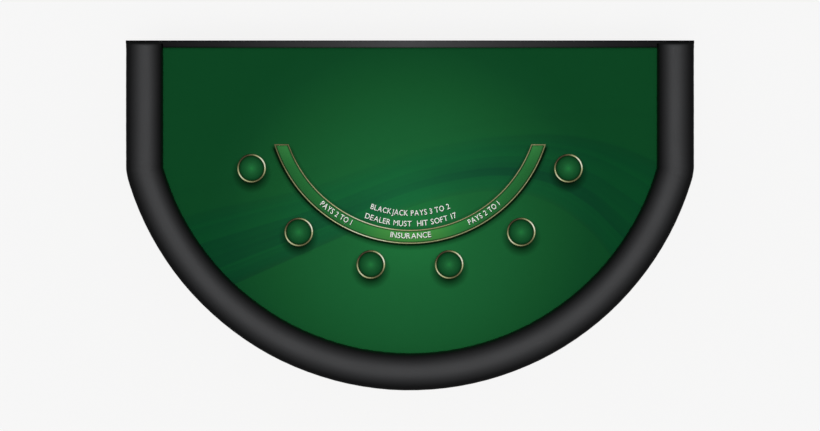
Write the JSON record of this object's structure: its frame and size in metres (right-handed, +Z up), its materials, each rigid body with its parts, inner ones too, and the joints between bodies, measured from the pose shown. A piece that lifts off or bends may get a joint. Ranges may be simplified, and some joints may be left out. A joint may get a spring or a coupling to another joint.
{
  "type": "blackjack table",
  "caption": "Card table with an arc front: green cloth deck, padded armrest on the players' side, dealer's rail at the back, two pedestal legs on screw levellers.",
  "frame": {"origin": "on the floor, below the middle of the table top's box", "axes": "+Z up, +Y to the dealer's side, +X to the right as seen from the players' side"},
  "size_m": [1.98, 1.2198, 1],
  "materials": {
    "cloth": "printed napped felt",
    "cloth_band": "printed napped felt",
    "gilt": "polished",
    "vinyl": "satin grained",
    "foam": "open cell",
    "plywood": "unfinished",
    "hardwood": "oiled",
    "black_lacquer": "satin lacquer",
    "zinc_steel": "zinc plated",
    "insert_brass": "turned",
    "cup_steel": "satin",
    "rubber": "matt"
  },
  "bodies": {
    "table": {"deck_board": "plywood", "foam_underlay": "foam", "playing_cloth": "cloth", "insurance_band": "cloth_band", "insurance_border": "gilt", "betting_ring_1": "gilt", "betting_ring_2": "gilt", "betting_ring_3": "gilt", "betting_ring_4": "gilt", "betting_ring_5": "gilt", "betting_ring_6": "gilt", "dealer_rail": "black_lacquer", "dealer_rail_screws": "zinc_steel", "armrest_base_left": "plywood", "armrest_foam_left": "foam", "armrest_cover_left": "vinyl", "armrest_base_front": "plywood", "armrest_foam_front": "foam", "armrest_cover_front": "vinyl", "armrest_base_right": "plywood", "armrest_foam_right": "foam", "armrest_cover_right": "vinyl", "armrest_bolts": "zinc_steel", "armrest_washers": "zinc_steel", "armrest_tee_nuts": "zinc_steel", "apron_left": "black_lacquer", "apron_front": "black_lacquer", "apron_right": "black_lacquer", "apron_back": "black_lacquer", "glue_blocks": "hardwood", "bearer_left": "hardwood", "bearer_right": "hardwood", "bearer_screws": "zinc_steel", "leg_column_left": "black_lacquer", "leg_column_right": "black_lacquer", "foot_beam_left": "black_lacquer", "foot_beam_right": "black_lacquer", "column_rods": "zinc_steel", "column_rod_washers": "zinc_steel", "column_rod_nuts": "zinc_steel", "stretcher": "black_lacquer", "tie_rods": "zinc_steel", "tie_rod_washers": "zinc_steel", "cap_nuts": "zinc_steel", "leveller_inserts": "insert_brass"},
    "leveller_1_foot": {"leveller_cup_1": "cup_steel", "leveller_sole_1": "rubber"},
    "leveller_1_stem": {"leveller_stem_1": "zinc_steel"},
    "leveller_2_foot": {"leveller_cup_2": "cup_steel", "leveller_sole_2": "rubber"},
    "leveller_2_stem": {"leveller_stem_2": "zinc_steel"},
    "leveller_3_foot": {"leveller_cup_3": "cup_steel", "leveller_sole_3": "rubber"},
    "leveller_3_stem": {"leveller_stem_3": "zinc_steel"},
    "leveller_4_foot": {"leveller_cup_4": "cup_steel", "leveller_sole_4": "rubber"},
    "leveller_4_stem": {"leveller_stem_4": "zinc_steel"}
  },
  "joints": [
    {"name": "leveller_1_height", "type": "slide", "parent": "table", "child": "leveller_1_foot", "axis": [0, 0, -1], "range_m": [0, 0.018]},
    {"name": "leveller_1_turn", "type": "hinge", "parent": "leveller_1_foot", "child": "leveller_1_stem", "pos_m": [-0.56, -0.29446, 0.03], "axis": [0, 0, -1], "range_deg": [0, 3240]},
    {"name": "leveller_2_height", "type": "slide", "parent": "table", "child": "leveller_2_foot", "axis": [0, 0, -1], "range_m": [0, 0.018]},
    {"name": "leveller_2_turn", "type": "hinge", "parent": "leveller_2_foot", "child": "leveller_2_stem", "pos_m": [0.56, -0.29446, 0.03], "axis": [0, 0, -1], "range_deg": [0, 3240]},
    {"name": "leveller_3_height", "type": "slide", "parent": "table", "child": "leveller_3_foot", "axis": [0, 0, -1], "range_m": [0, 0.018]},
    {"name": "leveller_3_turn", "type": "hinge", "parent": "leveller_3_foot", "child": "leveller_3_stem", "pos_m": [-0.56, 0.414, 0.03], "axis": [0, 0, -1], "range_deg": [0, 3240]},
    {"name": "leveller_4_height", "type": "slide", "parent": "table", "child": "leveller_4_foot", "axis": [0, 0, -1], "range_m": [0, 0.018]},
    {"name": "leveller_4_turn", "type": "hinge", "parent": "leveller_4_foot", "child": "leveller_4_stem", "pos_m": [0.56, 0.414, 0.03], "axis": [0, 0, -1], "range_deg": [0, 3240]}
  ],
  "couplings": [
    {"joint": "leveller_1_turn", "follows": "leveller_1_height", "rad_per_m": 3141.6},
    {"joint": "leveller_2_turn", "follows": "leveller_2_height", "rad_per_m": 3141.6},
    {"joint": "leveller_3_turn", "follows": "leveller_3_height", "rad_per_m": 3141.6},
    {"joint": "leveller_4_turn", "follows": "leveller_4_height", "rad_per_m": 3141.6}
  ]
}
